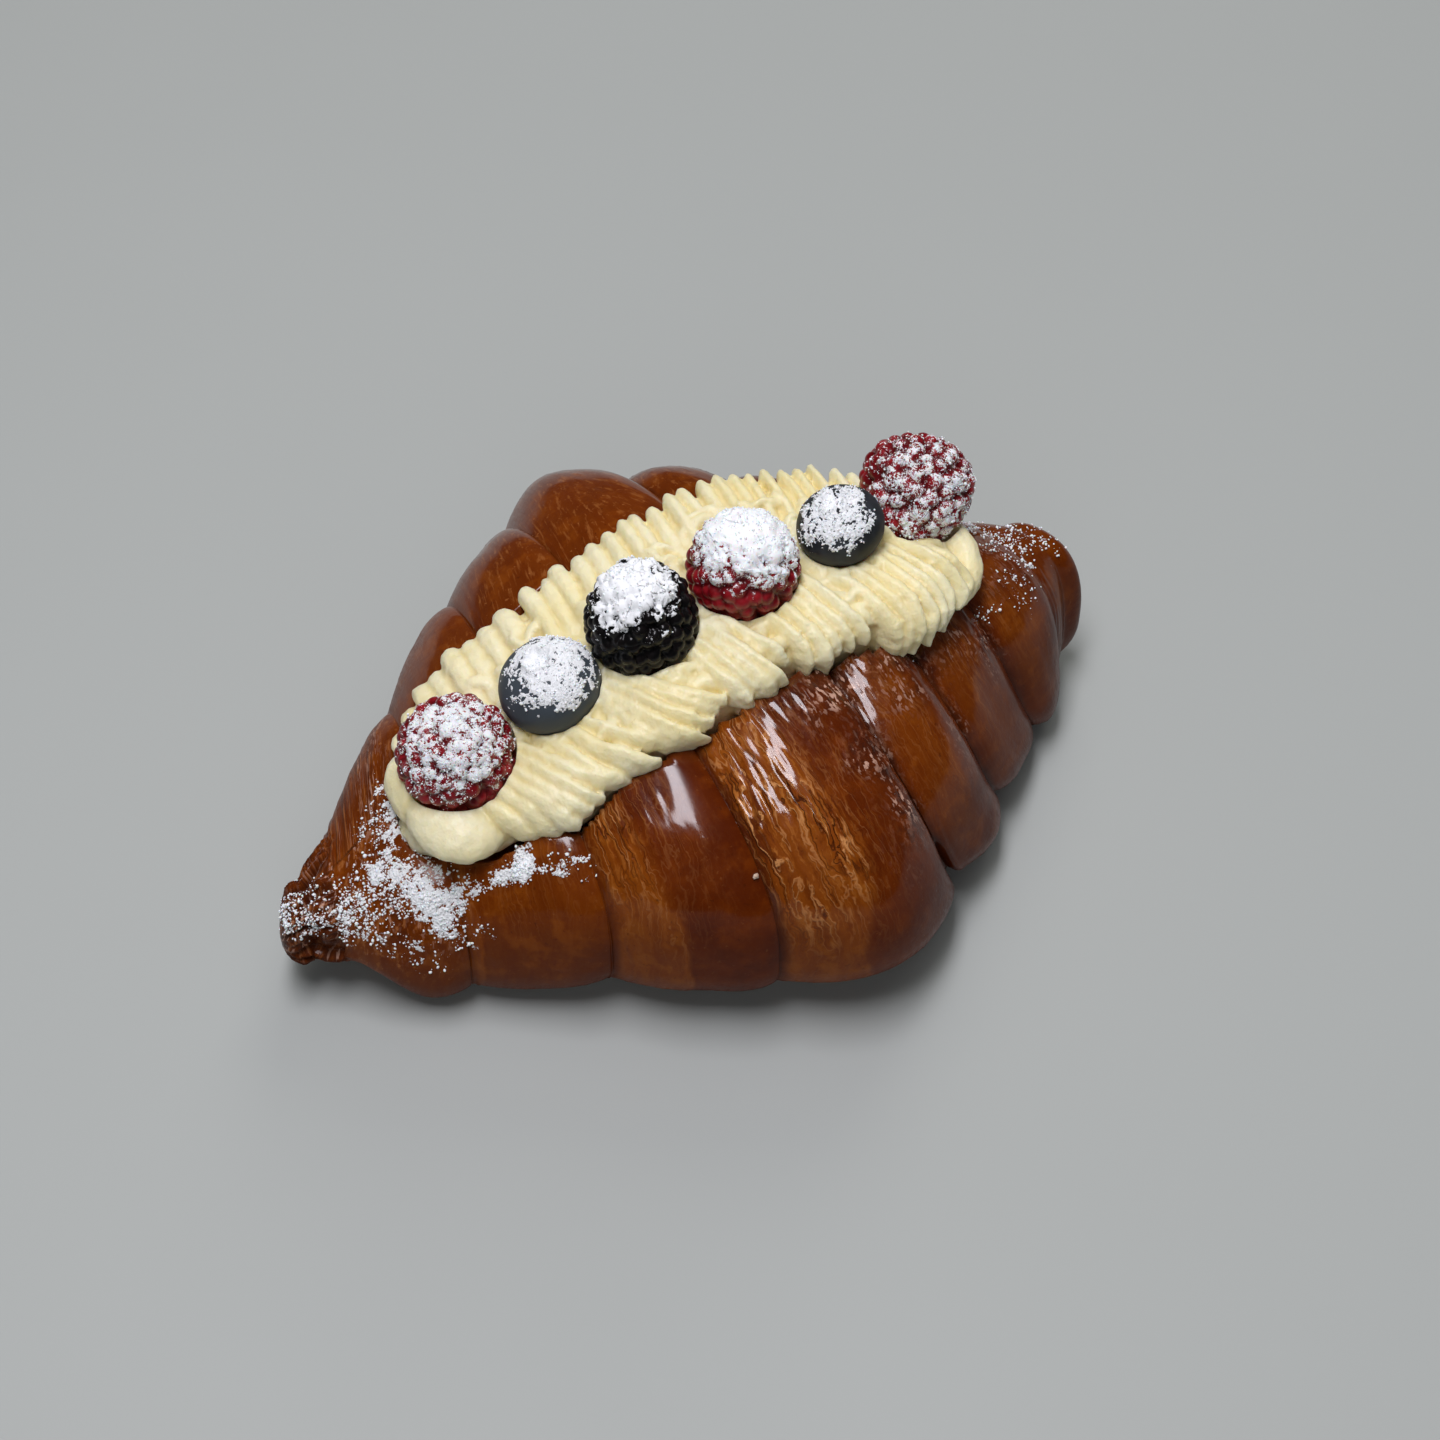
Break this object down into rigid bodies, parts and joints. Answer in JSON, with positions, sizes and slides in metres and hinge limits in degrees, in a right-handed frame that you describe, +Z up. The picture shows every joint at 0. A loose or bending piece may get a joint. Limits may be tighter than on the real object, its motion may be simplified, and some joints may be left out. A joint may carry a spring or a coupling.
{
  "type": "filled croissant",
  "caption": "Croissant split along its top, filled with a ruffled band of piped soft-cheese cream and topped with a row of sugar-dusted berries.",
  "frame": {"origin": "centre of the overall bounding box at the surface that the croissant rests on", "axes": "+X along the croissant from its small curled left tip to its blunt right tip, +Y away from the side shown nearest, +Z up"},
  "size_m": [0.1585, 0.1161, 0.0668],
  "materials": {
    "crust": "glazed brown baked crust with paler unglazed stripes and flaky layers",
    "cream": "soft pale yellow piped cream, satin",
    "raspberry": "deep red drupelets under white icing sugar",
    "bramble": "near-black glossy drupelets under white icing sugar",
    "blueberry": "dark slate blue skin with a dull bloom under white icing sugar"
  },
  "bodies": {
    "root": {"croissant": "crust", "cream": "cream", "raspberry_left": "raspberry", "blueberry_left": "blueberry", "bramble_berry": "bramble", "raspberry_middle": "raspberry", "blueberry_right": "blueberry", "raspberry_right": "raspberry"}
  },
  "joints": []
}
